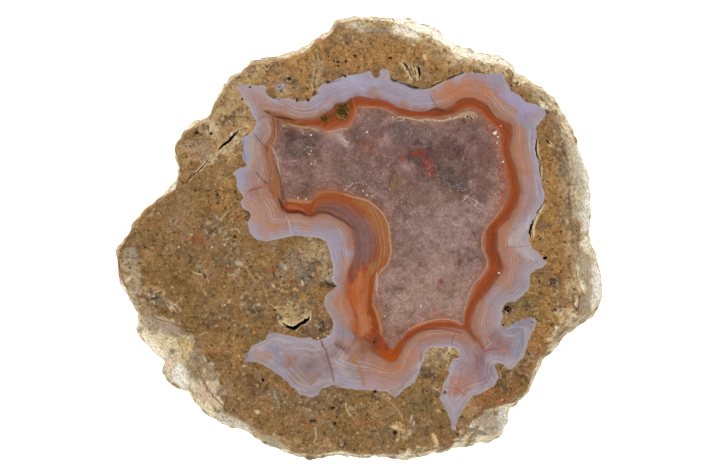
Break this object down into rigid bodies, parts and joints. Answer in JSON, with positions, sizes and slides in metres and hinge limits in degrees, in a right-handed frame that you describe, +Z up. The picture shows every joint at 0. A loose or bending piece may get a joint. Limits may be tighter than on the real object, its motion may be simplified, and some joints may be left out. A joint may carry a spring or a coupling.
{
  "type": "polished agate nodule half",
  "caption": "Sawn and polished half of a lumpy agate nodule in tan jasper, lying on a small ground flat with its polished face level and upwards.",
  "frame": {"origin": "middle of the object's box, on the ground flat that it rests on", "axes": "+Z up, out of the polished face; +X to the right and +Y away from a viewer who looks down on that face"},
  "size_m": [0.098, 0.0894, 0.04],
  "materials": {
    "agate_stone": "banded agate and tan jasper, polished on the sawn face, and rough pale rind elsewhere"
  },
  "bodies": {
    "root": {"agate_nodule": "agate_stone"}
  },
  "joints": []
}
